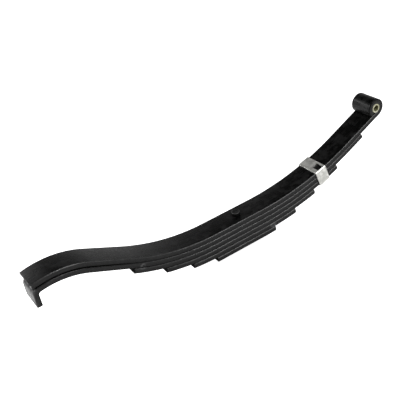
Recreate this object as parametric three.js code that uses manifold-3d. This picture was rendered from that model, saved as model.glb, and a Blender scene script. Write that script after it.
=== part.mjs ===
// Trailer slipper leaf spring: six leaves on a centre bolt, a rolled eye with a sleeve bushing at one
// end, a hook at the other and a strap clip round the three longest leaves.
// Millimetres. X runs along the spring towards the eye, Y across its width, Z up. The origin is the
// middle of the flat top of the centre bolt's head. The hook end is -X.
import * as THREE from 'three';
import { mergeVertices } from 'three/addons/utils/BufferGeometryUtils.js';
import Module from 'manifold-3d';

const wasm = await Module();
wasm.setup();

// Leaf bar
const leafWidth = 44.45;
const leafThickness = 9.1;
const leafGap = 0.45;
const barCornerRadius = 1.8;

// Arch of the pack, measured along the top face of the main leaf
const seatHookSide = 55;
const seatEyeSide = 38;
const hookArchRadius = 351;
const hookArchAngle = 25.7;
const hookStraight = 70;
const crestRadius = 150;
const mainTipDroop = 13.5;
const eyeArchRadius = 490;
const eyeArchAngle = 24;
const eyeStraight = 85.4;

// Eye and bushing
const bushingBore = 11;
const bushingOuter = 16.2;
const bushingClearance = 0.25;
const bushingProud = 0.3;
const eyeEndGap = 0.5;

// Second leaf, which opens away from the main leaf past the arch and ends in the hook
const hookLeafArchAngle = 24.6;
const hookLeafStraight = 78.96;
const hookLeafDroop = 9.5;
const hookInnerRadius = 5;
const hookLegLength = 19;
const hookLeafEyeReach = 276;

// Reach of the shorter leaves to each side of the centre bolt, longest first
const shortLeafReach = [
  { hook: 211, eye: 213 },
  { hook: 157, eye: 157.5 },
  { hook: 107.5, eye: 111.5 },
  { hook: 61, eye: 64.5 },
];

// Centre bolt and nut
const boltHeadDiameter = 14.3;
const boltHeadHeight = 6.5;
const boltHeadChamfer = 0.8;
const boltShankDiameter = 9.5;
const boltHoleClearance = 0.4;
const boltEndBeyondNut = 4.5;
const boltEndChamfer = 1.2;
const nutAcrossFlats = 14.3;
const nutHeight = 8.3;
const nutBoreClearance = 0.3;

// Strap clip and its rivet
const clipReach = 173;
const clipLength = 23.5;
const clipThickness = 1.5;
const clipCornerRadius = 2.4;
const clipSideClearance = 0.4;
const clippedLeaves = 3;
const clipSlotAlong = 12;
const clipSlotAcross = 16.4;
const clipSlotFromEdge = 8.9;
const clipSlotOffset = 2;
const clipSeamWidth = 2;
const clipSeamOffset = 15;
const rivetShankDiameter = 6;
const rivetHoleClearance = 0.3;
const rivetHeadDiameter = 11;
const rivetHeadHeight = 3;

// Gap left between pieces that bear on each other
const seatGap = 0.3;

// Facet sizes
const archStep = 3;
const bendStep = 12;
const cornerSteps = 2;
const roundSegments = 36;
const cutOvershoot = 1;

const leafPitch = leafThickness + leafGap;
const leafCount = shortLeafReach.length + 2;
const seatTop = -boltHeadHeight - seatGap;
const packBottom = seatTop - (leafCount - 1) * leafPitch - leafThickness;
const eyeBoreRadius = bushingOuter / 2 + bushingClearance;
const radians = THREE.MathUtils.degToRad;

const enamel = { color: 0x17181a, roughness: 0.42, metalness: 0.2 };
const zinc = { color: 0xb9bab4, roughness: 0.38, metalness: 0.9 };
const nylon = { color: 0xa9a68c, roughness: 0.45, metalness: 0 };

// One leaf's middle line as a row of stations, each a place and a heading in the X-Z plane
class LeafLine extends THREE.Curve {
  constructor() {
    super();
    this.stations = [];
  }

  start(x, z, heading) {
    this.x = x;
    this.z = z;
    this.heading = heading;
    this.mark();
    return this;
  }

  mark() {
    this.stations.push({ x: this.x, z: this.z, heading: this.heading });
  }

  straight(length) {
    this.x += length * Math.cos(this.heading);
    this.z += length * Math.sin(this.heading);
    this.mark();
    return this;
  }

  // a positive turn bends the line upwards and round to the left
  bend(radius, turn, step) {
    const count = Math.max(1, Math.ceil(Math.abs(turn) / step - 1e-6));
    const side = Math.sign(turn);
    const startHeading = this.heading;
    const centreX = this.x - side * radius * Math.sin(startHeading);
    const centreZ = this.z + side * radius * Math.cos(startHeading);
    for (let i = 1; i <= count; i += 1) {
      this.heading = startHeading + radians(turn) * i / count;
      this.x = centreX + side * radius * Math.sin(this.heading);
      this.z = centreZ - side * radius * Math.cos(this.heading);
      this.mark();
    }
    return this;
  }

  // the same line walked the other way, so that it can be carried on from its first end
  reversed() {
    this.stations.reverse();
    for (const station of this.stations) station.heading += Math.PI;
    const last = this.stations[this.stations.length - 1];
    this.x = last.x;
    this.z = last.z;
    this.heading = last.heading;
    return this;
  }

  getPoint(t, target = new THREE.Vector3()) {
    const place = t * (this.stations.length - 1);
    const i = Math.min(Math.floor(place + 1e-9), this.stations.length - 2);
    const from = this.stations[i];
    const to = this.stations[i + 1];
    const part = place - i;
    return target.set(from.x + (to.x - from.x) * part, 0, from.z + (to.z - from.z) * part);
  }

  getPointAt(u, target) {
    return this.getPoint(u, target);
  }

  getTangentAt(u, target = new THREE.Vector3()) {
    const station = this.stations[Math.round(u * (this.stations.length - 1))];
    return target.set(Math.cos(station.heading), 0, Math.sin(station.heading));
  }
}

// How far a line that starts level at the seat's end must bend and run to reach x
function archTo(reach, seat, radius, fullAngle) {
  const arcWidth = radius * Math.sin(radians(fullAngle));
  if (reach - seat < arcWidth) {
    return { turn: THREE.MathUtils.radToDeg(Math.asin((reach - seat) / radius)), run: 0 };
  }
  return { turn: fullAngle, run: (reach - seat - arcWidth) / Math.cos(radians(fullAngle)) };
}

// From the bolt towards the hook, a long leaf runs along its seat, arch and straight
function longHookSideLine(depth, archAngle, run) {
  const line = new LeafLine().start(0, seatTop - depth, Math.PI);
  line.straight(seatHookSide);
  line.bend(hookArchRadius + depth, -archAngle, archStep);
  return line.straight(run);
}

// A short leaf stops at its reach, in the arch or past it
function shortHookSideLine(depth, reach) {
  const line = new LeafLine().start(0, seatTop - depth, Math.PI);
  const archRadius = hookArchRadius + depth;
  const { turn, run } = archTo(reach, seatHookSide, archRadius, hookArchAngle);
  line.straight(seatHookSide);
  line.bend(archRadius, -turn, archStep);
  return run > 0 ? line.straight(run) : line;
}

function addEyeSide(line, depth, reach) {
  const archRadius = eyeArchRadius + depth;
  const { turn, run } = archTo(reach, seatEyeSide, archRadius, eyeArchAngle);
  line.straight(seatEyeSide);
  line.bend(archRadius, turn, archStep);
  return run > 0 ? line.straight(run) : line;
}

function leafDepth(index) {
  return index * leafPitch + leafThickness / 2;
}

function mainLeafLine() {
  const depth = leafDepth(0);
  const line = longHookSideLine(depth, hookArchAngle, hookStraight);
  line.bend(crestRadius - depth, hookArchAngle + mainTipDroop, archStep);
  line.reversed();
  line.straight(seatEyeSide);
  line.bend(eyeArchRadius + depth, eyeArchAngle, archStep);
  line.straight(eyeStraight);
  const outerRadius = eyeBoreRadius + leafThickness;
  const openAngle = THREE.MathUtils.radToDeg(Math.acos((eyeBoreRadius - eyeEndGap) / outerRadius));
  return line.bend(eyeBoreRadius + leafThickness / 2, 360 - openAngle, bendStep);
}

function hookLeafLine() {
  const depth = leafDepth(1);
  const line = longHookSideLine(depth, hookLeafArchAngle, hookLeafStraight);
  line.bend(crestRadius - depth, hookLeafArchAngle + hookLeafDroop, archStep);
  line.bend(hookInnerRadius + leafThickness / 2, 90 - hookLeafDroop, bendStep);
  line.straight(hookLegLength);
  return addEyeSide(line.reversed(), depth, hookLeafEyeReach);
}

function shortLeafLine(index, reach) {
  const depth = leafDepth(index);
  return addEyeSide(shortHookSideLine(depth, reach.hook).reversed(), depth, reach.eye);
}

// The middle of the eye, one bore radius above the straight's top face
function eyeCentre() {
  const heading = radians(eyeArchAngle);
  const x = seatEyeSide + eyeArchRadius * Math.sin(heading) + eyeStraight * Math.cos(heading);
  const rise = eyeArchRadius * (1 - Math.cos(heading)) + eyeStraight * Math.sin(heading);
  return new THREE.Vector3(
    x - eyeBoreRadius * Math.sin(heading),
    0,
    seatTop + rise + eyeBoreRadius * Math.cos(heading),
  );
}

function roundedRectangle(Path, width, height, radius) {
  const x = width / 2 - radius;
  const y = height / 2 - radius;
  const path = new Path();
  path.absarc(x, y, radius, 0, Math.PI / 2);
  path.absarc(-x, y, radius, Math.PI / 2, Math.PI);
  path.absarc(-x, -y, radius, Math.PI, 1.5 * Math.PI);
  path.absarc(x, -y, radius, 1.5 * Math.PI, 2 * Math.PI);
  path.closePath();
  return path;
}

function toManifold(geometry) {
  const plain = geometry.clone();
  plain.deleteAttribute('normal');
  plain.deleteAttribute('uv');
  const merged = mergeVertices(plain, 1e-4);
  return new wasm.Manifold(new wasm.Mesh({
    numProp: 3,
    vertProperties: new Float32Array(merged.attributes.position.array),
    triVerts: new Uint32Array(merged.index.array),
  }));
}

function toGeometry(solid) {
  const mesh = solid.getMesh();
  const geometry = new THREE.BufferGeometry();
  geometry.setAttribute('position', new THREE.BufferAttribute(mesh.vertProperties, 3));
  geometry.setIndex(new THREE.BufferAttribute(mesh.triVerts, 1));
  geometry.computeVertexNormals();
  return geometry;
}

function cut(geometry, ...tools) {
  let solid = toManifold(geometry);
  for (const tool of tools) solid = solid.subtract(toManifold(tool));
  return toGeometry(solid);
}

function uprightCylinder(radius, bottom, top) {
  const cylinder = new THREE.CylinderGeometry(radius, radius, top - bottom, roundSegments);
  return cylinder.rotateX(Math.PI / 2).translate(0, 0, (bottom + top) / 2);
}

// A profile of radius and height pairs, turned about the Z axis
function turned(points) {
  const profile = points.map(([radius, height]) => new THREE.Vector2(radius, height));
  return new THREE.LatheGeometry(profile, roundSegments).rotateX(Math.PI / 2);
}

// The clip's frame: middle of the clipped leaves, tilted with the arch
function clipPlacement() {
  const tilt = Math.asin((clipReach - seatEyeSide) / eyeArchRadius);
  const depth = (clippedLeaves * leafPitch - leafGap) / 2;
  const radius = eyeArchRadius + depth;
  const x = seatEyeSide + radius * Math.sin(tilt);
  const z = seatTop + eyeArchRadius - radius * Math.cos(tilt);
  return new THREE.Matrix4().makeRotationY(-tilt).setPosition(x, 0, z);
}

const clippedHeight = clippedLeaves * leafPitch - leafGap;
const clipInnerHeight = clippedHeight + 2 * clipSideClearance;
const clipInnerWidth = leafWidth + 2 * clipSideClearance;

function clipGeometry() {
  const ring = roundedRectangle(
    THREE.Shape,
    clipInnerWidth + 2 * clipThickness,
    clipInnerHeight + 2 * clipThickness,
    clipCornerRadius,
  );
  ring.holes.push(roundedRectangle(
    THREE.Path,
    clipInnerWidth,
    clipInnerHeight,
    clipCornerRadius - clipThickness,
  ));
  const band = new THREE.ExtrudeGeometry(ring, {
    depth: clipLength,
    bevelEnabled: false,
    curveSegments: cornerSteps + 1,
  });
  band.translate(0, 0, -clipLength / 2).rotateX(Math.PI / 2).rotateZ(Math.PI / 2);
  const wallTop = clipInnerHeight / 2 + clipThickness / 2;
  const wallCut = clipThickness + 2 * clipSideClearance;
  const slot = new THREE.BoxGeometry(clipSlotAlong, clipSlotAcross, wallCut);
  slot.translate(clipSlotOffset, -leafWidth / 2 + clipSlotFromEdge, wallTop);
  const seam = new THREE.BoxGeometry(clipLength + cutOvershoot, clipSeamWidth, wallCut);
  seam.translate(0, clipSeamOffset, -wallTop);
  const rivetHole = uprightCylinder(
    rivetShankDiameter / 2 + rivetHoleClearance,
    -wallTop - wallCut,
    -wallTop + wallCut,
  );
  return cut(band, slot, seam, rivetHole).applyMatrix4(clipPlacement());
}

// A round-headed rivet from under the strap, its shank ending flush inside the lowest clipped leaf
function rivetGeometry() {
  const strapOuter = -clipInnerHeight / 2 - clipThickness;
  const headTop = strapOuter - seatGap;
  const shankEnd = -clippedHeight / 2 + leafThickness;
  const headRadius = rivetHeadDiameter / 2;
  const profile = [[0, shankEnd], [rivetShankDiameter / 2, shankEnd], [rivetShankDiameter / 2, headTop]];
  for (let i = 0; i <= cornerSteps; i += 1) {
    const angle = (i / cornerSteps) * Math.PI / 2;
    profile.push([headRadius * Math.cos(angle), headTop - rivetHeadHeight * Math.sin(angle)]);
  }
  profile[profile.length - 1][0] = 0;
  return turned(profile.reverse()).applyMatrix4(clipPlacement());
}

function rivetHoleTool() {
  const bottom = -clippedHeight / 2 - cutOvershoot;
  const top = -clippedHeight / 2 + leafThickness + leafGap / 2;
  return uprightCylinder(rivetShankDiameter / 2 + rivetHoleClearance, bottom, top)
    .applyMatrix4(clipPlacement());
}

function leafGeometry(line, ...extraTools) {
  const bar = new THREE.ExtrudeGeometry(
    roundedRectangle(THREE.Shape, leafWidth, leafThickness, barCornerRadius),
    { extrudePath: line, steps: line.stations.length - 1, curveSegments: cornerSteps },
  );
  const boltHole = uprightCylinder(
    boltShankDiameter / 2 + boltHoleClearance,
    packBottom - cutOvershoot,
    seatTop + cutOvershoot,
  );
  return cut(bar, boltHole, ...extraTools);
}

function bushingGeometry() {
  const half = leafWidth / 2 + bushingProud;
  const outer = bushingOuter / 2;
  const inner = bushingBore / 2;
  const ring = new THREE.LatheGeometry([
    new THREE.Vector2(inner, -half),
    new THREE.Vector2(outer, -half),
    new THREE.Vector2(outer, half),
    new THREE.Vector2(inner, half),
    new THREE.Vector2(inner, -half),
  ], roundSegments);
  const centre = eyeCentre();
  return ring.translate(centre.x, centre.y, centre.z);
}

function boltGeometry() {
  const shank = boltShankDiameter / 2;
  const head = boltHeadDiameter / 2;
  const end = packBottom - seatGap - nutHeight - boltEndBeyondNut;
  return turned([
    [0, end],
    [shank - boltEndChamfer, end],
    [shank, end + boltEndChamfer],
    [shank, -boltHeadHeight],
    [head, -boltHeadHeight],
    [head, -boltHeadChamfer],
    [head - boltHeadChamfer, 0],
    [0, 0],
  ]);
}

function nutGeometry() {
  const corner = nutAcrossFlats / 2 / Math.cos(Math.PI / 6);
  const hexagon = new THREE.Shape();
  for (let i = 0; i < 6; i += 1) {
    const angle = (i * Math.PI) / 3;
    hexagon.lineTo(corner * Math.cos(angle), corner * Math.sin(angle));
  }
  hexagon.curves.shift();
  hexagon.closePath();
  const bore = new THREE.Path();
  bore.absarc(0, 0, boltShankDiameter / 2 + nutBoreClearance, 0, 2 * Math.PI);
  hexagon.holes.push(bore);
  const nut = new THREE.ExtrudeGeometry(hexagon, {
    depth: nutHeight,
    bevelEnabled: false,
    curveSegments: roundSegments / 2,
  });
  return nut.translate(0, 0, packBottom - seatGap - nutHeight);
}

function piece(name, geometry, finish) {
  const mesh = new THREE.Mesh(geometry, new THREE.MeshStandardMaterial(finish));
  mesh.name = name;
  return mesh;
}

const spring = new THREE.Group();
spring.add(piece('main_leaf', leafGeometry(mainLeafLine()), enamel));
spring.add(piece('hook_leaf', leafGeometry(hookLeafLine()), enamel));
shortLeafReach.forEach((reach, i) => {
  const index = i + 2;
  const tools = index === clippedLeaves - 1 ? [rivetHoleTool()] : [];
  const bar = leafGeometry(shortLeafLine(index, reach), ...tools);
  spring.add(piece(`leaf_${index + 1}`, bar, enamel));
});
spring.add(piece('eye_bushing', bushingGeometry(), nylon));
spring.add(piece('centre_bolt', boltGeometry(), enamel));
spring.add(piece('centre_nut', nutGeometry(), enamel));
spring.add(piece('rebound_clip', clipGeometry(), zinc));
spring.add(piece('clip_rivet', rivetGeometry(), zinc));

export default spring;
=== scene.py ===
import bmesh
import bpy
import math
from mathutils import Matrix, Vector


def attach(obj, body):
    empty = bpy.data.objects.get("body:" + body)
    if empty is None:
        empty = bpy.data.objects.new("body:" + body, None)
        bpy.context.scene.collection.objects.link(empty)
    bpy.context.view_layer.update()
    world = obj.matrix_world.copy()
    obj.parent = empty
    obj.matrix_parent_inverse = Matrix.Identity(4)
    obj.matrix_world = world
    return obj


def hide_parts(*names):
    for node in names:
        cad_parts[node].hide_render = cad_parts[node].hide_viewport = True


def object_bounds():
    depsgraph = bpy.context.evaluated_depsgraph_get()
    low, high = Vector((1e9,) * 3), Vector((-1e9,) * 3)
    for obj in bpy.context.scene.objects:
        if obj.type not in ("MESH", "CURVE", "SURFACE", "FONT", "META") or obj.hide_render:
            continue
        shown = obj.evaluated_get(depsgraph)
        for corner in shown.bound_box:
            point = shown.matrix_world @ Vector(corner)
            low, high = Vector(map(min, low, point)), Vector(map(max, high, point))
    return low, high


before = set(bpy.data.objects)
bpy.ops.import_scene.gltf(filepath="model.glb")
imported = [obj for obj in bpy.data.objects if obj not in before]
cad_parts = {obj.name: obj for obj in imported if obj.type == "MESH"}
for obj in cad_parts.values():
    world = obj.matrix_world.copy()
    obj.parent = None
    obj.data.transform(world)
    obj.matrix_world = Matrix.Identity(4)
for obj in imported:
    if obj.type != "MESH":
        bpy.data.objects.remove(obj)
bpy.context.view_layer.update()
mm = 0.001


# Node helpers

class Term:
    # one output socket; operators on values add Math nodes
    def __init__(self, maker, socket):
        self.maker = maker
        self.socket = socket

    def out(self, name):
        return Term(self.maker, self.socket.node.outputs[name])

    def __add__(self, other):
        return self.maker.maths("ADD", self, other)

    def __radd__(self, other):
        return self.maker.maths("ADD", other, self)

    def __sub__(self, other):
        return self.maker.maths("SUBTRACT", self, other)

    def __rsub__(self, other):
        return self.maker.maths("SUBTRACT", other, self)

    def __mul__(self, other):
        return self.maker.maths("MULTIPLY", self, other)

    def __rmul__(self, other):
        return self.maker.maths("MULTIPLY", other, self)

    def __truediv__(self, other):
        return self.maker.maths("DIVIDE", self, other)

    def __gt__(self, other):
        return self.maker.maths("GREATER_THAN", self, other)

    def __abs__(self):
        return self.maker.maths("ABSOLUTE", self)

    def least(self, other):
        return self.maker.maths("MINIMUM", self, other)

    def most(self, other):
        return self.maker.maths("MAXIMUM", self, other)

    def clamped(self):
        return self.least(1).most(0)


class Maker:
    # adds nodes to one tree
    def __init__(self, tree):
        self.tree = tree

    def node(self, kind, settings=None, sockets=None, output=0):
        made = self.tree.nodes.new(kind)
        for name, value in (settings or {}).items():
            if name == "stops":
                self.setStops(made.color_ramp, value)
            else:
                setattr(made, name, value)
        for name, value in (sockets or {}).items():
            for one in value if isinstance(value, list) else [value]:
                if isinstance(one, Term):
                    self.tree.links.new(one.socket, made.inputs[name])
                else:
                    made.inputs[name].default_value = one
        return Term(self, made.outputs[output]) if made.outputs else made

    def setStops(self, ramp, stops):
        while len(ramp.elements) < len(stops):
            ramp.elements.new(0.5)
        for element, (place, shade) in zip(ramp.elements, stops):
            element.position = place
            element.color = (shade, shade, shade, 1)

    def maths(self, operation, *values):
        return self.node("ShaderNodeMath", {"operation": operation}, dict(enumerate(values)))

    def smooth(self, value, low, high):
        return self.node(
            "ShaderNodeMapRange",
            {"interpolation_type": "SMOOTHSTEP"},
            {"Value": value, "From Min": low, "From Max": high},
        )

    def mix(self, factor, first, second):
        return self.node(
            "ShaderNodeMix", {"data_type": "RGBA"}, {0: factor, 6: first, 7: second}, 2
        )

    def vector(self, operation, first, second):
        name = "Scale" if operation == "SCALE" else 1
        output = 1 if operation in ("LENGTH", "DISTANCE", "DOT_PRODUCT") else 0
        return self.node(
            "ShaderNodeVectorMath", {"operation": operation}, {0: first, name: second}, output
        )

    def combine(self, x, y, z):
        return self.node("ShaderNodeCombineXYZ", {}, {0: x, 1: y, 2: z})

    def noise(self, place, scale, detail=2.0, roughness=0.5):
        return self.node(
            "ShaderNodeTexNoise",
            {},
            {"Vector": place, "Scale": scale, "Detail": detail, "Roughness": roughness},
        )


def grey(shade):
    return (shade, shade, shade, 1)


def newMaterial(name):
    material = bpy.data.materials.new(name)
    material.use_nodes = True
    material.node_tree.nodes.clear()
    return material, Maker(material.node_tree)


def finishMaterial(make, sockets, paintedShade=None):
    # one principled surface, covered by a matt near-black painted shade where the painted-shade
    # factor is 1
    surface = make.node("ShaderNodeBsdfPrincipled", {}, sockets)
    if paintedShade is not None:
        matt = make.node(
            "ShaderNodeBsdfPrincipled",
            {},
            {"Base Color": grey(paintedShadeLook["shade"]), "Roughness": 0.9, "Specular IOR Level": 0.05},
        )
        surface = make.node("ShaderNodeMixShader", {}, {0: paintedShade, 1: surface, 2: matt})
    make.node("ShaderNodeOutputMaterial", {}, {"Surface": surface})


# Materials

# painted shade: the near-black matt surface laid where shade falls
paintedShadeLook = {
    "shade": 0.0015,
    "grooveCover": 0.88,
}

enamelLook = {
    "black": 0.0009,
    "film": 0.0095,         # the thin dusty film on the paint
    "edgeWearAndHighlight": 0.05,         # painted highlight along the rolled edges, with some rubbed paint
    "scuffed": 0.11,        # paint scraped in the few small marks
    "cutFacePaintedLight": 0.25,        # painted light on the main leaf's sheared tip
    "hookFaceLightAndSmudges": 0.15,           # painted light on the hook's outer face, broken by scraped smudges
    "roughness": 0.28,
    "roughnessSpread": 0.26,
    "streakScale": 260,     # rolling marks across the bar, per metre
    "peelScale": 1100,      # paint texture, per metre
    "scuffs": [             # place and radius, in mm
        ((-196, -22, 5), 7),
        ((-366, -10, 50), 12),
        ((60, -22, -48), 9),
    ],
}

# heights and distances in metres, each pair a fade from its first value to its second
boltHeadZone = {
    "top": (-0.0013, -0.0009),      # painted highlight above
    "bottom": (-0.0076, -0.0072),   # painted shade between this and the top
    "rim": (0.0058, 0.0063),        # radius of the rim's painted highlight
}

tipZone = {
    "hookFaceX": -0.3688,
    "hookFaceFade": 0.0008,
    "hookFaceShade": (0.030, 0.052),
    "cutX": -0.3679,
    "cutFade": 0.0005,
    "cutLow": (0.0580, 0.0595),
    "cutHigh": (0.0682, 0.0690),
}


def enamelMaterial(name, followsBar):
    # black enamel over hot-rolled steel; on the leaves the marks follow the bar
    look = enamelLook
    material, make = newMaterial(name)
    objectPlace = make.node("ShaderNodeTexCoord", {}, {}, "Object")
    if followsBar:
        place = make.node(
            "ShaderNodeAttribute", {"attribute_name": "barPlace"}, {}, "Vector"
        )
        edge = make.node("ShaderNodeAttribute", {"attribute_name": "barEdge"}, {}, "Fac")
    else:
        place = objectPlace
        edge = make.noise(place, 90) * 0.3
    stretched = make.vector("MULTIPLY", place, (0.06, 1, 1))
    streaks = make.noise(stretched, look["streakScale"], 4, 0.6)
    cloud = make.noise(place, 24, 3, 0.55)
    patches = make.noise(place, 95, 4, 0.6)
    peel = make.noise(place, look["peelScale"], 2, 0.5)
    pits = make.noise(place, 420, 3, 0.62)
    film = make.smooth(cloud * 0.5 + patches * 0.5, 0.47, 0.63) * 0.75
    film = film * (0.2 + streaks * 1.4)
    scuff = 0
    for centre, radius in look["scuffs"]:
        centre = tuple(value * mm for value in centre)
        distance = make.vector("DISTANCE", objectPlace, centre)
        spot = 1 - make.smooth(distance, radius * mm * 0.3, radius * mm)
        scuff = spot * make.smooth(patches, 0.44, 0.6) + scuff
    # painted highlight along the rolled edges, mixed with a little rubbed paint
    edgeWearAndHighlight = make.smooth(edge * (0.45 + pits * 0.9), 0.35, 0.85)
    colour = make.mix(film.clamped(), grey(look["black"]), grey(look["film"]))
    colour = make.mix((edgeWearAndHighlight * 0.5).clamped(), colour, grey(look["edgeWearAndHighlight"]))
    colour = make.mix((scuff * 0.8).clamped(), colour, grey(look["scuffed"]))
    roughness = look["roughness"] + look["roughnessSpread"] * (patches - 0.5)
    roughness = roughness + 0.08 * film - 0.06 * edgeWearAndHighlight + 0.22 * (streaks - 0.5)
    if not followsBar:
        height = make.node("ShaderNodeSeparateXYZ", {}, {0: objectPlace}).out("Z")
        onTop = make.smooth(height, *boltHeadZone["top"])
        fromAxis = make.vector("MULTIPLY", objectPlace, (1, 1, 0))
        rim = make.smooth(make.vector("LENGTH", fromAxis, (0, 0, 0)), *boltHeadZone["rim"])
        # painted highlight on the bolt head's top, brightest on its rim
        colour = make.mix(onTop * (0.05 + 0.45 * rim), colour, grey(look["edgeWearAndHighlight"]))
        # painted shade down the side of the bolt head
        paintedShade = (1 - onTop) * make.smooth(height, *boltHeadZone["bottom"]) * 0.8
    if followsBar:
        cutEnd = make.node("ShaderNodeAttribute", {"attribute_name": "barEnd"}, {}, "Fac")
        cutEnd = make.smooth(cutEnd, 0.9, 1.0)
        roughness = roughness + cutEnd * 0.5
        zone = tipZone
        parts = make.node("ShaderNodeSeparateXYZ", {}, {0: objectPlace})
        along, height = parts.out("X"), parts.out("Z")
        outer = make.smooth(zone["hookFaceX"] - along, 0, zone["hookFaceFade"])
        smudges = make.smooth(make.noise(objectPlace, 110, 3, 0.6), 0.40, 0.62)
        tipFace = make.smooth(height, *zone["cutLow"]) * (1 - make.smooth(height, *zone["cutHigh"]))
        tipFace = tipFace * make.smooth(zone["cutX"] - along, 0, zone["cutFade"])
        # painted light on the hook's outer face, stronger higher up and broken by smudges
        shaded = 0.25 + 0.6 * make.smooth(height, *zone["hookFaceShade"])
        hookFaceLightAndSmudges = outer * (0.2 + 0.8 * smudges) * shaded
        colour = make.mix((hookFaceLightAndSmudges * 0.7).clamped(), colour, grey(look["hookFaceLightAndSmudges"]))
        # painted light on the main leaf's sheared tip
        cutFaceLightMask = tipFace * (0.6 + 0.4 * smudges)
        colour = make.mix(cutFaceLightMask.clamped(), colour, grey(look["cutFacePaintedLight"]))
        # painted shade from the bar: the grooves under the leaves, the open gap above the hook leaf
        # and the cut ends
        paintedShade = make.node("ShaderNodeAttribute", {"attribute_name": "barSoot"}, {}, "Fac")
        paintedShade = (paintedShade * paintedShadeLook["grooveCover"]).clamped()
    coarse = make.node(
        "ShaderNodeBump",
        {},
        {"Strength": 0.28, "Distance": 0.0004, "Height": pits * 0.7 + streaks},
    )
    fine = make.node(
        "ShaderNodeBump",
        {},
        {"Strength": 0.10, "Distance": 0.0002, "Height": peel, "Normal": coarse},
    )
    finishMaterial(make, {
        "Base Color": colour,
        "Roughness": roughness.clamped(),
        "Normal": fine,
        "IOR": 1.5,
        "Specular IOR Level": 0.31,
        "Coat Weight": 0.06,
        "Coat Roughness": 0.2,
    }, paintedShade)
    return material


zincLook = {
    "bright": (0.90, 0.90, 0.86, 1),
    "dull": (0.62, 0.62, 0.58, 1),
    "roughness": 0.42,
    "spangleScale": 190,
}


def zincMaterial():
    # dull zinc coat with a soft spangle, and a painted highlight along its bends
    look = zincLook
    material, make = newMaterial("zincStrap")
    place = make.node("ShaderNodeAttribute", {"attribute_name": "barPlace"}, {}, "Vector")
    edge = make.node("ShaderNodeAttribute", {"attribute_name": "barEdge"}, {}, "Fac")
    cells = make.node(
        "ShaderNodeTexVoronoi", {"feature": "F1"}, {"Vector": place, "Scale": look["spangleScale"]}
    )
    flake = make.node("ShaderNodeSeparateColor", {}, {0: cells.out("Color")})
    mottle = make.noise(place, 120, 4, 0.6)
    grain = make.noise(make.vector("MULTIPLY", place, (1, 0.08, 1)), 900, 3, 0.6)
    shade = make.smooth(mottle * 0.75 + flake * 0.25, 0.32, 0.66)
    colour = make.mix(shade, look["dull"], look["bright"])
    # painted highlight along the bends
    colour = make.mix((edge * 0.7).clamped(), colour, (0.78, 0.78, 0.75, 1))
    roughness = look["roughness"] + 0.16 * (mottle - 0.5) + 0.10 * (grain - 0.5)
    relief = make.node(
        "ShaderNodeBump",
        {},
        {"Strength": 0.25, "Distance": 0.0003, "Height": mottle + grain * 0.3 + flake * 0.1},
    )
    finishMaterial(make, {
        "Base Color": colour,
        "Metallic": 0.85,
        "Roughness": roughness.clamped(),
        "Normal": relief,
    })
    return material


nylonLook = {
    "pale": (0.50, 0.49, 0.36, 1),
    "olive": (0.34, 0.33, 0.20, 1),
    # painted shade inside the bore
    "bore": (0.10, 0.095, 0.04, 1),
    "centre": (0.31192, 0, 0.07793),
    "boreEdge": (0.0056, 0.0062),   # radius over which the bore's painted shade ends, in metres
    "roughness": 0.36,
}


def nylonMaterial():
    # moulded nylon, slightly greasy
    look = nylonLook
    material, make = newMaterial("bushingNylon")
    place = make.node("ShaderNodeTexCoord", {}, {}, "Object")
    cloud = make.noise(place, 140, 3, 0.55)
    specks = make.noise(place, 900, 2, 0.5)
    colour = make.mix(make.smooth(cloud, 0.35, 0.7), look["pale"], look["olive"])
    fromAxis = make.vector("SUBTRACT", place, look["centre"])
    fromAxis = make.vector("MULTIPLY", fromAxis, (1, 0, 1))
    # painted shade, darkening the bore
    boreShadeMask = 1 - make.smooth(make.vector("LENGTH", fromAxis, (0, 0, 0)), *look["boreEdge"])
    colour = make.mix(boreShadeMask * 0.85, colour, look["bore"])
    roughness = look["roughness"] + 0.2 * (cloud - 0.5)
    relief = make.node(
        "ShaderNodeBump", {}, {"Strength": 0.12, "Distance": 0.0002, "Height": specks}
    )
    finishMaterial(make, {
        "Base Color": colour,
        "Roughness": roughness,
        "Normal": relief,
        "Subsurface Weight": 0.15,
        "Subsurface Radius": (0.002, 0.002, 0.001),
    })
    return material


barEnamel = enamelMaterial("barEnamel", True)
partEnamel = enamelMaterial("partEnamel", False)
zincStrap = zincMaterial()
bushingNylon = nylonMaterial()
print("materials made")


# Formed bar: a flat blank is swept along the unrolled path, sheared, punched and bent to the path

barInputs = [
    ("Path", "NodeSocketGeometry"),
    ("Width", "NodeSocketFloat"),
    ("Thickness", "NodeSocketFloat"),
    ("Corner Radius", "NodeSocketFloat"),
    ("First End Roll", "NodeSocketFloat"),
    ("Last End Roll", "NodeSocketFloat"),
    ("Edge Break", "NodeSocketFloat"),
    ("End Painted Shade", "NodeSocketFloat"),
    ("Open Groove To", "NodeSocketFloat"),
    ("Across", "NodeSocketVector"),
    ("Hole At", "NodeSocketFloat"),
    ("Hole Diameter", "NodeSocketFloat"),
    ("Rivet Hole At", "NodeSocketFloat"),
    ("Rivet Hole Diameter", "NodeSocketFloat"),
    ("Slot At", "NodeSocketFloat"),
    ("Slot Length", "NodeSocketFloat"),
    ("Slot Width", "NodeSocketFloat"),
    ("Slot Offset", "NodeSocketFloat"),
    ("Unevenness", "NodeSocketFloat"),
    ("Seed", "NodeSocketFloat"),
    ("Material", "NodeSocketMaterial"),
]


# lengths in metres
barLook = {
    "slotCorner": 0.0007,
    "endMark": 0.001,           # how far the bare end reaches along the bar
    "endFace": 0.0002,          # how near the end a point counts as its face
    "grooveRim": 0.0002,
    "openGrooveFrom": 0.030,
    "openGrooveFadeIn": 0.004,
    "openGrooveFadeOut": 0.03,
    "openGrooveCover": 0.6,
    "wanderScale": 28.0,        # hot-rolled unevenness, per metre
    "sharpAngle": 0.6,          # radians
}


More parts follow.
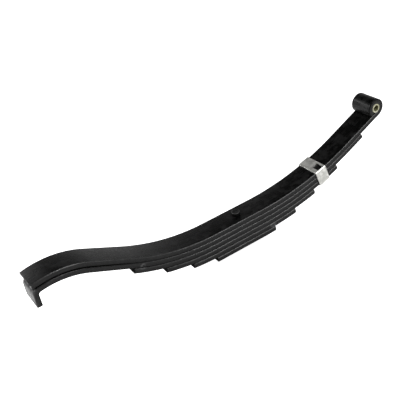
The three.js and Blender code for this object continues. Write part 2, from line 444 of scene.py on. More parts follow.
def barTree():
    look = barLook
    tree = bpy.data.node_groups.new("formedBar", "GeometryNodeTree")
    for name, kind in barInputs:
        tree.interface.new_socket(name, in_out="INPUT", socket_type=kind)
    tree.interface.new_socket("Bar", in_out="OUTPUT", socket_type="NodeSocketGeometry")
    make = Maker(tree)
    given = make.node("NodeGroupInput")
    size = {name: given.out(name) for name, kind in barInputs}
    width, thickness = size["Width"], size["Thickness"]

    # unrolled path and its bar section
    length = make.node("GeometryNodeSplineParameter", {}, {}, "Length")
    unrolled = make.node(
        "GeometryNodeSetPosition",
        {},
        {"Geometry": size["Path"], "Position": make.combine(length, 0, 0)},
    )
    section = make.node("GeometryNodeCurvePrimitiveQuadrilateral", {}, {0: width, 1: thickness})
    section = make.node(
        "GeometryNodeFilletCurve",
        {"mode": "POLY"},
        {"Curve": section, "Count": 7, "Radius": size["Corner Radius"], "Limit Radius": True},
    )
    blank = make.node(
        "GeometryNodeCurveToMesh",
        {},
        {"Curve": unrolled, "Profile Curve": section, "Fill Caps": True},
    )

    # sheared ends: the lower edge is drawn round, every edge is slightly broken
    place = make.node("GeometryNodeInputPosition")
    parts = make.node("ShaderNodeSeparateXYZ", {}, {0: place})
    x, y, z = parts.out("X"), parts.out("Y"), parts.out("Z")
    fullLength = make.node("GeometryNodeCurveLength", {}, {"Curve": size["Path"]})
    toFirst, toLast = x.most(0), (fullLength - x).most(0)
    toEnd = toFirst.least(toLast)

    def roundedInset(radius, distance):
        left = (radius - distance).most(0)
        return radius - make.maths("SQRT", (radius * radius - left * left).most(0))

    roll = roundedInset(size["First End Roll"], toFirst)
    roll = roll + roundedInset(size["Last End Roll"], toLast)
    inset = roundedInset(size["Edge Break"], toEnd)
    top = thickness / 2
    rolledZ = top - (top - z) * (1 - roll / thickness)
    middleZ = roll / 2
    newZ = middleZ + (rolledZ - middleZ) * (1 - 2 * inset / thickness)
    newY = y * (1 - 2 * inset / width)
    sheared = make.node(
        "GeometryNodeSetPosition", {}, {"Geometry": blank, "Position": make.combine(x, newY, newZ)}
    )

    # punched holes
    def punched(bar, tool, wanted):
        pierced = make.node(
            "GeometryNodeMeshBoolean",
            {"operation": "DIFFERENCE", "solver": "EXACT"},
            {"Mesh 1": bar, "Mesh 2": tool},
        )
        return make.node(
            "GeometryNodeSwitch",
            {"input_type": "GEOMETRY"},
            {"Switch": wanted > 0, "False": bar, "True": pierced},
        )

    def roundPunch(at, diameter):
        pin = make.node(
            "GeometryNodeMeshCylinder",
            {},
            {"Vertices": 64, "Radius": diameter / 2, "Depth": thickness * 3},
        )
        return make.node(
            "GeometryNodeTransform", {}, {"Geometry": pin, "Translation": make.combine(at, 0, 0)}
        )

    slotOutline = make.node(
        "GeometryNodeCurvePrimitiveQuadrilateral",
        {},
        {0: size["Slot Length"], 1: size["Slot Width"]},
    )
    slotOutline = make.node(
        "GeometryNodeFilletCurve",
        {"mode": "POLY"},
        {"Curve": slotOutline, "Count": 4, "Radius": look["slotCorner"], "Limit Radius": True},
    )
    slotFace = make.node("GeometryNodeFillCurve", {"mode": "NGONS"}, {"Curve": slotOutline})
    slotLift = make.combine(0, 0, thickness * 3)
    slotBlock = make.node(
        "GeometryNodeExtrudeMesh",
        {"mode": "FACES"},
        {"Mesh": slotFace, "Offset": slotLift, "Offset Scale": 1.0},
    )
    slotBottom = make.node("GeometryNodeFlipFaces", {}, {"Mesh": slotFace})
    slotBlock = make.node("GeometryNodeJoinGeometry", {}, {"Geometry": [slotBlock, slotBottom]})
    slotBlock = make.node(
        "GeometryNodeMergeByDistance", {}, {"Geometry": slotBlock, "Distance": 1e-6}
    )
    slotPlace = make.combine(size["Slot At"], size["Slot Offset"], thickness * -1.5)
    slotTool = make.node(
        "GeometryNodeTransform", {}, {"Geometry": slotBlock, "Translation": slotPlace}
    )
    bar = sheared
    for hole in ("Hole", "Rivet Hole"):
        diameter = size[hole + " Diameter"]
        bar = punched(bar, roundPunch(size[hole + " At"], diameter), diameter)
    bar = punched(bar, slotTool, size["Slot Length"])

    def stored(bar, name, value, kind="FLOAT"):
        return make.node(
            "GeometryNodeStoreNamedAttribute",
            {"data_type": kind, "domain": "POINT"},
            {"Geometry": bar, "Name": name, "Value": value},
        )

    # where each point was on the flat bar, and how near it is to a rolled edge or an end
    corner = size["Corner Radius"]
    seeded = make.vector("ADD", place, make.combine(0, 0, size["Seed"]))
    bar = stored(bar, "barPlace", seeded, "FLOAT_VECTOR")
    sideways = ((abs(y) - (width / 2 - corner)) / corner).clamped()
    upright = ((abs(z) - (thickness / 2 - corner)) / corner).clamped()
    bar = stored(bar, "barEdge", (sideways * upright * 3.5).clamped())
    bar = stored(bar, "barEnd", (1 - toEnd / look["endMark"]).clamped())

    # painted shade in the groove under each leaf, above the hook leaf where it stands open, and on
    # cut ends
    wall = thickness / 2 - corner
    lowSide = ((0 - z - (wall - look["grooveRim"])) / (corner * 0.35)).clamped()
    outside = (sideways * 4).clamped()
    highSide = ((z - wall) / (corner * 0.4)).clamped()
    fadeOut = ((size["Open Groove To"] - x) / look["openGrooveFadeOut"]).clamped()
    fadeIn = ((x - look["openGrooveFrom"]) / look["openGrooveFadeIn"]).clamped()
    openSide = highSide * outside * (fadeOut * fadeIn) * look["openGrooveCover"]
    endFace = (1 - toEnd / look["endFace"]).clamped() * size["End Painted Shade"]
    bar = stored(bar, "barSoot", (lowSide * outside).most(openSide).most(endFace))

    # bent to the path, with the slight unevenness of hot-rolled bar
    route = make.node(
        "GeometryNodeSampleCurve",
        {"mode": "LENGTH"},
        {"Curves": size["Path"], "Length": x},
        "Position",
    )
    outwards = make.vector("CROSS_PRODUCT", route.out("Tangent"), size["Across"])
    shifted = make.vector("ADD", place, make.combine(size["Seed"], 0, 0))
    wander = make.node(
        "ShaderNodeTexNoise",
        {},
        {"Vector": shifted, "Scale": look["wanderScale"], "Detail": 1.0},
        "Color",
    )
    wander = make.vector("SUBTRACT", wander, (0.5, 0.5, 0.5))
    wander = make.vector("SCALE", wander, size["Unevenness"])
    wanderParts = make.node("ShaderNodeSeparateXYZ", {}, {0: wander})
    sideStep = make.vector("SCALE", size["Across"], y + wanderParts.out("Y"))
    upStep = make.vector("SCALE", outwards, z + wanderParts.out("Z"))
    bent = make.vector("ADD", make.vector("ADD", route, sideStep), upStep)
    bar = make.node("GeometryNodeSetPosition", {}, {"Geometry": bar, "Position": bent})
    bar = make.node("GeometryNodeMergeByDistance", {}, {"Geometry": bar, "Distance": 2e-6})
    angle = make.node("GeometryNodeInputMeshEdgeAngle", {}, {}, "Unsigned Angle")
    bar = make.node(
        "GeometryNodeSetShadeSmooth", {"domain": "FACE"}, {"Geometry": bar, "Shade Smooth": True}
    )
    bar = make.node(
        "GeometryNodeSetShadeSmooth",
        {"domain": "EDGE"},
        {"Geometry": bar, "Selection": angle > look["sharpAngle"], "Shade Smooth": False},
    )
    bar = make.node("GeometryNodeRealizeInstances", {}, {"Geometry": bar})
    bar = make.node("GeometryNodeSetMaterial", {}, {"Geometry": bar, "Material": size["Material"]})
    make.node("NodeGroupOutput", {}, {"Bar": bar})
    return tree


def keepMesh(name, mesh, body, node, material):
    # one closed mesh at the origin, faces out, standing for its CAD node
    work = bmesh.new()
    work.from_mesh(mesh)
    bmesh.ops.remove_doubles(work, verts=work.verts, dist=1e-6)
    bmesh.ops.recalc_face_normals(work, faces=work.faces)
    if work.calc_volume(signed=True) < 0:
        bmesh.ops.reverse_faces(work, faces=work.faces)
    openEdges = sum(1 for edge in work.edges if len(edge.link_faces) != 2)
    work.to_mesh(mesh)
    work.free()
    mesh.materials.clear()
    mesh.materials.append(material)
    mesh.name = name
    piece = bpy.data.objects.new(name, mesh)
    bpy.context.scene.collection.objects.link(piece)
    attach(piece, body)
    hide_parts(node)
    print(name, "made,", len(mesh.polygons), "faces, open edges", openEdges)


formedBar = barTree()


def barMesh(points, sizes):
    # runs the tree on one path and returns the plain mesh
    curve = bpy.data.curves.new("path", "CURVE")
    curve.dimensions = "3D"
    spline = curve.splines.new("POLY")
    spline.points.add(len(points) - 1)
    for point, place in zip(spline.points, points):
        point.co = (*[value * mm for value in place], 1)
    carrier = bpy.data.objects.new("path", curve)
    bpy.context.scene.collection.objects.link(carrier)
    modifier = carrier.modifiers.new("formedBar", "NODES")
    modifier.node_group = formedBar
    for item in formedBar.interface.items_tree:
        if item.item_type == "SOCKET" and item.in_out == "INPUT" and item.name in sizes:
            modifier[item.identifier] = sizes[item.name]
    view = bpy.context.evaluated_depsgraph_get()
    mesh = bpy.data.meshes.new_from_object(carrier.evaluated_get(view))
    carrier.modifiers.clear()
    bpy.data.objects.remove(carrier)
    bpy.data.curves.remove(curve)
    return mesh


# Leaves

pack = {
    "width": 44.45,
    "thickness": 9.1,
    "pitch": 9.55,
    "cornerRadius": 1.8,
    "seatTop": -6.8,
    "seatHookSide": 55,
    "seatEyeSide": 38,
    "hookArchRadius": 351,
    "hookArchAngle": 25.7,
    "crestRadius": 150,
    "eyeArchRadius": 490,
    "eyeArchAngle": 24,
    "holeDiameter": 10.3,
    "clipReach": 173,
    "rivetHoleDiameter": 6.6,
    "endZone": 4,
    "endStations": 12,
}
clipTilt = math.asin((pack["clipReach"] - pack["seatEyeSide"]) / pack["eyeArchRadius"])


def walk(moves, depth, heading):
    # points along straight and bent moves from the bolt; each move is (length, turn in degrees)
    x, z = 0.0, pack["seatTop"] - depth
    points = [(x, 0, z)]
    for number, (length, turn) in enumerate(moves):
        curvature = math.radians(turn) / length
        step = 6 if turn == 0 else min(3, math.radians(3) / abs(curvature))
        reach = length
        if number == len(moves) - 1:
            reach = length - pack["endZone"]
        count = max(1, math.ceil(reach / step))
        places = [reach * i / count for i in range(1, count + 1)]
        if reach < length:
            stations = pack["endStations"]
            for i in range(1, stations + 1):
                places.append(reach + pack["endZone"] * math.sin(math.pi / 2 * i / stations))
        for place in places:
            if curvature == 0:
                px = x + place * math.cos(heading)
                pz = z + place * math.sin(heading)
            else:
                ahead = heading + curvature * place
                px = x + (math.sin(ahead) - math.sin(heading)) / curvature
                pz = z - (math.cos(ahead) - math.cos(heading)) / curvature
            points.append((px, 0, pz))
        x, z = points[-1][0], points[-1][2]
        heading += math.radians(turn)
    return points


def bend(radius, turn):
    return (radius * math.radians(abs(turn)), turn)


def archTo(reach, seat, radius, fullAngle, sign):
    # the moves that take a line level at its seat's end out to reach
    arcWidth = radius * math.sin(math.radians(fullAngle))
    if reach - seat < arcWidth:
        return [(seat, 0), bend(radius, sign * math.degrees(math.asin((reach - seat) / radius)))]
    run = (reach - seat - arcWidth) / math.cos(math.radians(fullAngle))
    return [(seat, 0), bend(radius, sign * fullAngle), (run, 0)]


def hookArchTo(reach, depth):
    radius = pack["hookArchRadius"] + depth
    return archTo(reach, pack["seatHookSide"], radius, pack["hookArchAngle"], -1)


def eyeArchTo(reach, depth):
    radius = pack["eyeArchRadius"] + depth
    return archTo(reach, pack["seatEyeSide"], radius, pack["eyeArchAngle"], 1)


def pathLength(points):
    return sum(math.dist(a, b) for a, b in zip(points, points[1:]))


def makeLeaf(name, node, leaf, hookMoves, eyeMoves):
    depth = leaf["place"] * pack["pitch"] + pack["thickness"] / 2
    hookSide = walk(hookMoves, depth, math.pi)
    eyeSide = walk(eyeMoves, depth, 0)
    points = hookSide[::-1] + eyeSide[1:]
    toBolt = pathLength(hookSide)
    toRivet = toBolt + pack["seatEyeSide"] + (pack["eyeArchRadius"] + depth) * clipTilt
    rivetHole = pack["rivetHoleDiameter"] if leaf.get("riveted") else 0.0
    sizes = {
        "Width": pack["width"] * mm,
        "Thickness": pack["thickness"] * mm,
        "Corner Radius": pack["cornerRadius"] * mm,
        "First End Roll": leaf["hookEndRoll"] * mm,
        "Last End Roll": leaf["eyeEndRoll"] * mm,
        "Edge Break": 0.5 * mm,
        "End Painted Shade": leaf.get("endPaintedShade", 0.0),
        "Open Groove To": leaf.get("openGroove", 0.0) * mm,
        "Across": (0.0, 1.0, 0.0),
        "Hole At": toBolt * mm,
        "Hole Diameter": pack["holeDiameter"] * mm,
        "Rivet Hole At": toRivet * mm,
        "Rivet Hole Diameter": rivetHole * mm,
        "Slot Length": 0.0,
        "Unevenness": leaf["unevenness"] * mm,
        "Seed": float(leaf["place"]) * 1.7 + 0.4,
        "Material": barEnamel,
    }
    keepMesh(name, barMesh(points, sizes), "spring_pack", node, barEnamel)


def longHookMoves(leaf, depth):
    return [
        (pack["seatHookSide"], 0),
        bend(pack["hookArchRadius"] + depth, -leaf["archAngle"]),
        (leaf["hookStraight"], 0),
        bend(pack["crestRadius"] - depth, leaf["archAngle"] + leaf["droop"]),
    ]


mainLeaf = {
    "place": 0,
    "archAngle": 25.7,
    "hookStraight": 70,
    "droop": 13.5,
    "eyeStraight": 85.4,
    "eyeBoreRadius": 8.35,
    "eyeEndGap": 0.5,
    "hookEndRoll": 0.4,
    "eyeEndRoll": 0.9,
    "unevenness": 0.16,
}


def makeMainLeaf():
    leaf = mainLeaf
    depth = pack["thickness"] / 2
    outerRadius = leaf["eyeBoreRadius"] + pack["thickness"]
    openAngle = math.degrees(math.acos((leaf["eyeBoreRadius"] - leaf["eyeEndGap"]) / outerRadius))
    eyeMoves = [
        (pack["seatEyeSide"], 0),
        bend(pack["eyeArchRadius"] + depth, pack["eyeArchAngle"]),
        (leaf["eyeStraight"], 0),
        bend(leaf["eyeBoreRadius"] + depth, 360 - openAngle),
    ]
    makeLeaf("mainLeaf", "main_leaf", leaf, longHookMoves(leaf, depth), eyeMoves)


hookLeaf = {
    "place": 1,
    "archAngle": 24.6,
    "hookStraight": 78.96,
    "droop": 9.5,
    "innerRadius": 5,
    "legLength": 19,
    "openGroove": 215,
    "eyeReach": 276,
    "hookEndRoll": 0.5,
    "eyeEndRoll": 2.8,
    "unevenness": 0.16,
}


def makeHookLeaf():
    leaf = hookLeaf
    depth = pack["pitch"] + pack["thickness"] / 2
    hookMoves = longHookMoves(leaf, depth) + [
        bend(leaf["innerRadius"] + pack["thickness"] / 2, 90 - leaf["droop"]),
        (leaf["legLength"], 0),
    ]
    makeLeaf("hookLeaf", "hook_leaf", leaf, hookMoves, eyeArchTo(leaf["eyeReach"], depth))


# the short leaves' cut ends are darkened with painted shade
shortLeaves = [
    {"name": "thirdLeaf", "node": "leaf_3", "place": 2, "hook": 211, "eye": 213, "riveted": True,
     "hookEndRoll": 0.4, "eyeEndRoll": 2.8, "endPaintedShade": 1.0, "unevenness": 0.16},
    {"name": "fourthLeaf", "node": "leaf_4", "place": 3, "hook": 157, "eye": 157.5,
     "hookEndRoll": 0.4, "eyeEndRoll": 2.8, "endPaintedShade": 1.0, "unevenness": 0.16},
    {"name": "fifthLeaf", "node": "leaf_5", "place": 4, "hook": 107.5, "eye": 111.5,
     "hookEndRoll": 0.4, "eyeEndRoll": 2.8, "endPaintedShade": 1.0, "unevenness": 0.16},
    {"name": "sixthLeaf", "node": "leaf_6", "place": 5, "hook": 61, "eye": 64.5,
     "hookEndRoll": 0.4, "eyeEndRoll": 2.0, "endPaintedShade": 1.0, "unevenness": 0.14},
]


def makeShortLeaf(leaf):
    depth = leaf["place"] * pack["pitch"] + pack["thickness"] / 2
    hookMoves = hookArchTo(leaf["hook"], depth)
    eyeMoves = eyeArchTo(leaf["eye"], depth)
    makeLeaf(leaf["name"], leaf["node"], leaf, hookMoves, eyeMoves)


makeMainLeaf()
makeHookLeaf()
for leaf in shortLeaves:
    makeShortLeaf(leaf)
print("leaves made")


# Strap clip

clip = {
    "length": 23.5,
    "thickness": 1.5,
    "cornerRadius": 2.4,
    "sideClearance": 0.4,
    "leaves": 3,
    "slotAlong": 12,
    "slotAcross": 16.4,
    "slotFromEdge": 8.9,
    "slotOffset": 2,
    "seamWidth": 2,
    "seamOffset": 15,
    "unevenness": 0.35,
}
clippedHeight = clip["leaves"] * pack["pitch"] - (pack["pitch"] - pack["thickness"])
clipRadius = pack["eyeArchRadius"] + clippedHeight / 2
clipMatrix = Matrix.Translation((
    pack["seatEyeSide"] + clipRadius * math.sin(clipTilt),
    0,
    pack["seatTop"] + pack["eyeArchRadius"] - clipRadius * math.cos(clipTilt),
)) @ Matrix.Rotation(-clipTilt, 4, "Y")


def makeClip():
    side = pack["width"] / 2 + clip["sideClearance"] + clip["thickness"] / 2
    rise = clippedHeight / 2 + clip["sideClearance"] + clip["thickness"] / 2
    radius = clip["cornerRadius"] - clip["thickness"] / 2
    firstEnd = clip["seamOffset"] + clip["seamWidth"] / 2
    lastEnd = clip["seamOffset"] - clip["seamWidth"] / 2
    corners = [(side, -rise, 0), (side, rise, 90), (-side, rise, 180), (-side, -rise, 270)]
    flat = [(firstEnd + 0.35 * i, -rise) for i in range(4)]
    for y, z, angle in corners:
        centreY = y - math.copysign(radius, y)
        centreZ = z - math.copysign(radius, z)
        for i in range(13):
            turn = math.radians(angle - 90 + 90 * i / 12)
            flat.append((centreY + radius * math.cos(turn), centreZ + radius * math.sin(turn)))
    flat += [(lastEnd - 0.35 * (3 - i), -rise) for i in range(4)]
    dense = [flat[0]]
    for place in flat[1:]:
        last = dense[-1]
        count = max(1, math.ceil(math.dist(last, place) / 3))
        dense += [
            (last[0] + (place[0] - last[0]) * i / count, last[1] + (place[1] - last[1]) * i / count)
            for i in range(1, count + 1)
        ]
    points = [tuple(clipMatrix @ Vector((0, y, z))) for y, z in dense]
    # distances along the strap: right half of the floor, right wall, roof, left wall, floor
    toRightWall = (side - radius) - firstEnd + radius * math.pi / 2
    toRoof = toRightWall + 2 * (rise - radius) + radius * math.pi / 2
    slotCentre = -(pack["width"] / 2 - clip["slotFromEdge"])
    slotAt = toRoof + (side - radius) - slotCentre
    toLeftWall = toRoof + 2 * (side - radius) + radius * math.pi / 2
    toFloor = toLeftWall + 2 * (rise - radius) + radius * math.pi / 2
    sizes = {
        "Width": clip["length"] * mm,
        "Thickness": clip["thickness"] * mm,
        "Corner Radius": 0.55 * mm,
        "First End Roll": 0.3 * mm,
        "Last End Roll": 0.3 * mm,
        "Edge Break": 0.25 * mm,
        "Across": tuple(clipMatrix.to_3x3() @ Vector((1, 0, 0))),
        "Hole At": (toFloor + side - radius) * mm,
        "Hole Diameter": pack["rivetHoleDiameter"] * mm,
        "Rivet Hole Diameter": 0.0,
        "Slot At": slotAt * mm,
        "Slot Length": clip["slotAcross"] * mm,
        "Slot Width": clip["slotAlong"] * mm,
        "Slot Offset": clip["slotOffset"] * mm,
        "Unevenness": clip["unevenness"] * mm,
        "Seed": 7.3,
        "Material": zincStrap,
    }
    mesh = barMesh(points, sizes)
    keepMesh("reboundClip", mesh, "spring_pack", "rebound_clip", zincStrap)


makeClip()
print("clip made")


# Turned parts

def ringMesh(name, rings, looped=False):
    # rings of points joined by quads; a ring of one point is a pole
    work = bmesh.new()
    made = [[work.verts.new(place) for place in ring] for ring in rings]
    pairs = list(zip(made, made[1:])) + ([(made[-1], made[0])] if looped else [])
    for first, second in pairs:
        count = max(len(first), len(second))
        for i in range(count):
            j = (i + 1) % count
            if len(first) == 1:
                work.faces.new((first[0], second[j], second[i]))
            elif len(second) == 1:
                work.faces.new((first[i], first[j], second[0]))
            else:
                work.faces.new((first[i], first[j], second[j], second[i]))
    mesh = bpy.data.meshes.new(name)
    work.to_mesh(mesh)
    work.free()
    mesh.shade_smooth()
    mesh.set_sharp_from_angle(angle=math.radians(32))
    return mesh


def ring(radiusAt, heightAt, segments):
    # one ring about the Z axis; radius and height are numbers or functions of the angle
    places = []
    for i in range(segments):
        angle = 2 * math.pi * i / segments
        radius = radiusAt(angle) if callable(radiusAt) else radiusAt
        height = heightAt(angle) if callable(heightAt) else heightAt
        places.append((radius * math.cos(angle), radius * math.sin(angle), height))
    return places


def placed(rings, matrix):
    scale = Matrix.Scale(mm, 4)
    return [[scale @ (matrix @ Vector(place)) for place in one] for one in rings]


def rounded(outerRadius, height, radius, sign, steps=6):
    # profile points of a rounded rim, from the end face out to the wall
    return [
        (
            outerRadius - radius + radius * math.sin(math.pi / 2 * i / steps),
            height - sign * (radius - radius * math.cos(math.pi / 2 * i / steps)),
        )
        for i in range(steps + 1)
    ]


bolt = {
    "headDiameter": 14.3,
    "headHeight": 6.5,
    "headRounding": 0.9,
    "shankDiameter": 9.5,
    "end": -76.75,
    "endChamfer": 1.2,
    "threadPitch": 1.4,
    "threadDepth": 0.75,
    "threadFrom": -60,
    "segments": 64,
}


def threadWave(turns):
    # 0 at the crest and 1 at the root of a vee thread with blunt crest and root
    phase = abs((turns % 1) * 2 - 1)
    return min(1, max(0, (phase - 0.12) / 0.76))


def makeBolt():
    head = bolt["headDiameter"] / 2
    shank = bolt["shankDiameter"] / 2
    segments = bolt["segments"]
    end = bolt["end"]
    rings = [[(0, 0, 0)]]
    for share in (0.3, 0.6, 0.8):
        rings.append(ring(head * share, 0, segments))
    for radius, height in rounded(head, 0, bolt["headRounding"], 1):
        rings.append(ring(radius, height, segments))
    under = rounded(head, -bolt["headHeight"], 0.35, -1, 3)
    for radius, height in reversed(under):
        rings.append(ring(radius, height, segments))
    rings.append(ring(shank + 0.15, -bolt["headHeight"], segments))
    rings.append(ring(shank, -bolt["headHeight"] - 0.15, segments))
    rings.append(ring(shank, -30, segments))
    pitch = bolt["threadPitch"]
    height = bolt["threadFrom"]
    while height > end + 0.02:
        fadeIn = min(1, (bolt["threadFrom"] - height) / pitch)
        allowed = shank - max(0, bolt["endChamfer"] - (height - end))

        def radiusAt(angle, height=height, fadeIn=fadeIn, allowed=allowed):
            depth = bolt["threadDepth"] * fadeIn
            wave = threadWave(height / pitch + angle / (2 * math.pi))
            return min(shank - depth * wave, allowed)

        rings.append(ring(radiusAt, height, segments))
        height -= pitch / 8
    rings.append(ring(shank - bolt["endChamfer"], end, segments))
    rings.append(ring(shank * 0.4, end, segments))
    rings.append([(0, 0, end)])
    mesh = ringMesh("centreBolt", placed(rings, Matrix.Identity(4)))
    keepMesh("centreBolt", mesh, "spring_pack", "centre_bolt", partEnamel)


nut = {
    "acrossFlats": 14.3,
    "top": -63.95,
    "height": 8.3,
    "boreRadius": 5.05,
    "threadDepth": 0.6,
    "chamfer": 0.93,        # where the chamfer starts, as a share of half the flats
    "segments": 96,
}


def makeNut():
    half = nut["acrossFlats"] / 2
    segments = nut["segments"]
    top = nut["top"]
    bottom = top - nut["height"]
    pitch = bolt["threadPitch"]
    slope = math.tan(math.radians(30))
    inner = half * nut["chamfer"]

    def flats(angle):
        turn = (angle + math.pi / 6) % (math.pi / 3) - math.pi / 6
        return half / math.cos(turn)

    def underside(angle):
        return bottom + (flats(angle) - inner) * slope

    def upperSide(angle):
        return top - (flats(angle) - inner) * slope

    bore = nut["boreRadius"]
    rings = [ring(bore + 0.9, bottom, segments), ring(inner, bottom, segments)]
    rings.append(ring(flats, underside, segments))
    for share in (0.06, 0.5, 0.94):

        def between(angle, share=share):
            return underside(angle) + (upperSide(angle) - underside(angle)) * share

        rings.append(ring(flats, between, segments))
    rings += [ring(flats, upperSide, segments), ring(inner, top, segments)]
    rings.append(ring(bore + 0.9, top, segments))
    rows = 40
    for i in range(rows + 1):
        height = top - 0.7 - (nut["height"] - 1.4) * i / rows

        def radiusAt(angle, height=height):
            return bore + nut["threadDepth"] * threadWave(height / pitch + angle / (2 * math.pi))

        rings.append(ring(radiusAt, height, segments))
    mesh = ringMesh("centreNut", placed(rings, Matrix.Identity(4)), True)
    keepMesh("centreNut", mesh, "spring_pack", "centre_nut", partEnamel)


rivet = {
    "shankDiameter": 6,
    "headDiameter": 11,
    "headHeight": 3,
    "rimHeight": 0.5,
    "seatGap": 0.3,
    "segments": 48,
}


def makeRivet():
    segments = rivet["segments"]
    strapUnder = -clippedHeight / 2 - clip["sideClearance"] - clip["thickness"]
    headTop = strapUnder - rivet["seatGap"]
    shankEnd = -clippedHeight / 2 + pack["thickness"]
    shank = rivet["shankDiameter"] / 2
    head = rivet["headDiameter"] / 2
    rings = [[(0, 0, shankEnd)]]
    for radius, height in rounded(shank, shankEnd, 0.4, 1, 4):
        rings.append(ring(radius, height, segments))
    rings.append(ring(shank, headTop, segments))
    for radius, height in rounded(head, headTop, 0.25, 1, 3):
        rings.append(ring(radius, height, segments))
    dome = rivet["headHeight"] - rivet["rimHeight"]
    for i in range(12):
        angle = math.pi / 2 * i / 12
        rings.append(ring(
            head * math.cos(angle) ** 0.8,
            headTop - rivet["rimHeight"] - dome * math.sin(angle),
            segments,
        ))
    rings.append([(0, 0, headTop - rivet["headHeight"])])
    mesh = ringMesh("clipRivet", placed(rings, clipMatrix))
    keepMesh("clipRivet", mesh, "spring_pack", "clip_rivet", zincPart)


bushing = {
    "bore": 11,
    "outer": 16.2,
    "halfLength": 22.525,
    "centre": (311.92, 0, 77.93),
    "outerRounding": 0.7,
    "innerChamfer": 0.9,
    "segments": 96,
}


def makeBushing():
    segments = bushing["segments"]
    outer = bushing["outer"] / 2
    inner = bushing["bore"] / 2
    half = bushing["halfLength"]
    chamfer = bushing["innerChamfer"]
    profile = []
    for sign in (1, -1):
        rim = rounded(outer, sign * half, bushing["outerRounding"], sign, 5)
        profile += rim if sign == 1 else rim[::-1]
        if sign == 1:
            profile += [(outer, half * (1 - 2 * i / 10)) for i in range(1, 10)]
    profile.append((inner + chamfer, -half))
    profile.append((inner + 0.2, -half + 0.35))
    profile.append((inner, -half + chamfer))
    profile += [(inner, -half * (1 - 2 * i / 10)) for i in range(1, 10)]
    profile.append((inner, half - chamfer))
    profile.append((inner + 0.2, half - 0.35))
    profile.append((inner + chamfer, half))
    rings = [ring(radius, height, segments) for radius, height in profile]
    turn = Matrix.Translation(bushing["centre"]) @ Matrix.Rotation(math.pi / 2, 4, "X")
    mesh = ringMesh("eyeBushing", placed(rings, turn), True)
    keepMesh("eyeBushing", mesh, "bushing", "eye_bushing", bushingNylon)


def zincPartMaterial():
    # the same zinc on the small turned rivet, in object coordinates
    material, make = newMaterial("zincPart")
    place = make.node("ShaderNodeTexCoord", {}, {}, "Object")
    mottle = make.noise(place, 200, 4, 0.6)
    grain = make.noise(place, 1200, 2, 0.5)
    colour = make.mix(make.smooth(mottle, 0.35, 0.65), zincLook["dull"], zincLook["bright"])
    relief = make.node(
        "ShaderNodeBump", {}, {"Strength": 0.2, "Distance": 0.0002, "Height": mottle + grain * 0.3}
    )
    finishMaterial(make, {
        "Base Color": colour,
        "Metallic": 0.85,
        "Roughness": zincLook["roughness"] + 0.2 * (mottle - 0.5),
        "Normal": relief,
    })
    return material


zincPart = zincPartMaterial()
makeBolt()
makeNut()
makeRivet()
makeBushing()
print("bolt, nut, rivet and bushing made")


# Floor, light and camera

studio = {
    "floorGap": 0.0004,
    "floorHalf": 30,
    "floorGlow": 0.95,      # only what the camera sees of the floor, so that it stays white
    "floorShade": 0.8,
    "sky": [                # shade at each height, from the horizon up
        (0.0, 0.95), (0.05, 0.68), (0.18, 0.38), (0.36, 0.30),
        (0.54, 0.18), (0.60, 0.12), (0.67, 0.012), (1.0, 0.04),
    ],
}


def makeFloor():
    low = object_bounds()[0][2]
    half = studio["floorHalf"]
    mesh = bpy.data.meshes.new("floor")
    corners = [(-half, -half), (half, -half), (half, half), (-half, half)]
    mesh.from_pydata([(x, y, low - studio["floorGap"]) for x, y in corners], [], [(0, 1, 2, 3)])
    floor = bpy.data.objects.new("floor", mesh)
    bpy.context.scene.collection.objects.link(floor)
    material, make = newMaterial("paleFloor")
    seen = make.node("ShaderNodeLightPath", {}, {}, "Is Camera Ray")
    glow = make.node(
        "ShaderNodeEmission", {}, {"Color": grey(1), "Strength": seen * studio["floorGlow"]}
    )
    matt = make.node("ShaderNodeBsdfDiffuse", {}, {"Color": grey(studio["floorShade"])})
    both = make.node("ShaderNodeAddShader", {}, {0: glow, 1: matt})
    make.node("ShaderNodeOutputMaterial", {}, {"Surface": both})
    mesh.materials.append(material)


def makeWorld():
    world = bpy.data.worlds.new("studio")
    world.use_nodes = True
    world.node_tree.nodes.clear()
    make = Maker(world.node_tree)
    direction = make.node("ShaderNodeTexCoord", {}, {}, "Generated")
    height = make.node("ShaderNodeSeparateXYZ", {}, {0: direction}).out("Z")
    colour = make.node("ShaderNodeValToRGB", {"stops": studio["sky"]}, {0: height})
    sky = make.node("ShaderNodeBackground", {}, {"Color": colour, "Strength": 1.0})
    make.node("ShaderNodeOutputWorld", {}, {"Surface": sky})
    bpy.context.scene.world = world


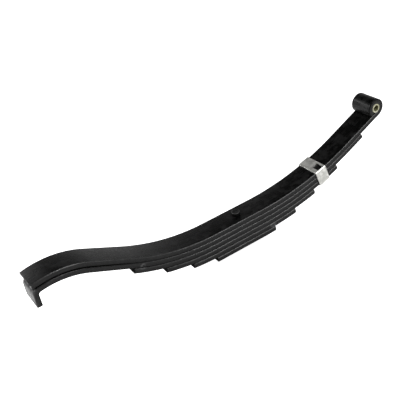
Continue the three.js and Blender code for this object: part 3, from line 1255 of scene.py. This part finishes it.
lamps = [
    {"name": "frontBox", "at": (0.7, -1.5, 1.9), "aim": (0, 0, 0), "size": (1.5, 1.0), "power": 60},
    {"name": "leftBox", "at": (-1.0, 0.35, 0.65), "aim": (-0.35, 0, 0.03),
     "size": (0.5, 0.5), "power": 10},
    {"name": "backStrip", "at": (-1.04, 1.86, 1.12), "aim": (0.3, 0, 0.08),
     "size": (1.2, 0.35), "power": 4},
    {"name": "tipStrip", "at": (-0.42, 0.9, 0.82), "aim": (-0.34, 0, 0.05),
     "size": (0.4, 0.4), "power": 0.22},
]


def makeLamp(lamp):
    light = bpy.data.lights.new(lamp["name"], "AREA")
    light.shape = "RECTANGLE"
    light.size, light.size_y = lamp["size"]
    light.energy = lamp["power"]
    holder = bpy.data.objects.new(lamp["name"], light)
    direction = Vector(lamp["aim"]) - Vector(lamp["at"])
    turn = direction.to_track_quat("-Z", "Y").to_matrix().to_4x4()
    holder.matrix_world = Matrix.Translation(lamp["at"]) @ turn
    bpy.context.scene.collection.objects.link(holder)


camera = {
    "at": (-0.51201, -0.84917, 0.67071),
    "azimuth": 27.90,
    "elevation": 32.71,
    "roll": 10.64,
    "lens": 62.99,
    "shift": 0.00125,
}


def makeCamera():
    azimuth = math.radians(camera["azimuth"])
    elevation = math.radians(camera["elevation"])
    roll = math.radians(camera["roll"])
    forward = Vector((
        math.sin(azimuth) * math.cos(elevation),
        math.cos(azimuth) * math.cos(elevation),
        -math.sin(elevation),
    ))
    level = Vector((math.cos(azimuth), -math.sin(azimuth), 0))
    upright = level.cross(forward)
    right = level * math.cos(roll) - upright * math.sin(roll)
    up = right.cross(forward)
    data = bpy.data.cameras.new("camera")
    data.lens = camera["lens"]
    data.sensor_width = 36
    data.shift_x = -camera["shift"]
    data.shift_y = camera["shift"]
    data.clip_start = 0.02
    data.clip_end = 60
    holder = bpy.data.objects.new("camera", data)
    turn = Matrix((right, up, -forward)).transposed().to_4x4()
    holder.matrix_world = Matrix.Translation(camera["at"]) @ turn
    bpy.context.scene.collection.objects.link(holder)
    bpy.context.scene.camera = holder


makeFloor()
makeWorld()
for lamp in lamps:
    makeLamp(lamp)
makeCamera()
bpy.context.scene.view_settings.view_transform = "Standard"
bpy.context.scene.view_settings.look = "None"
print("stage made")

bpy.context.view_layer.update()
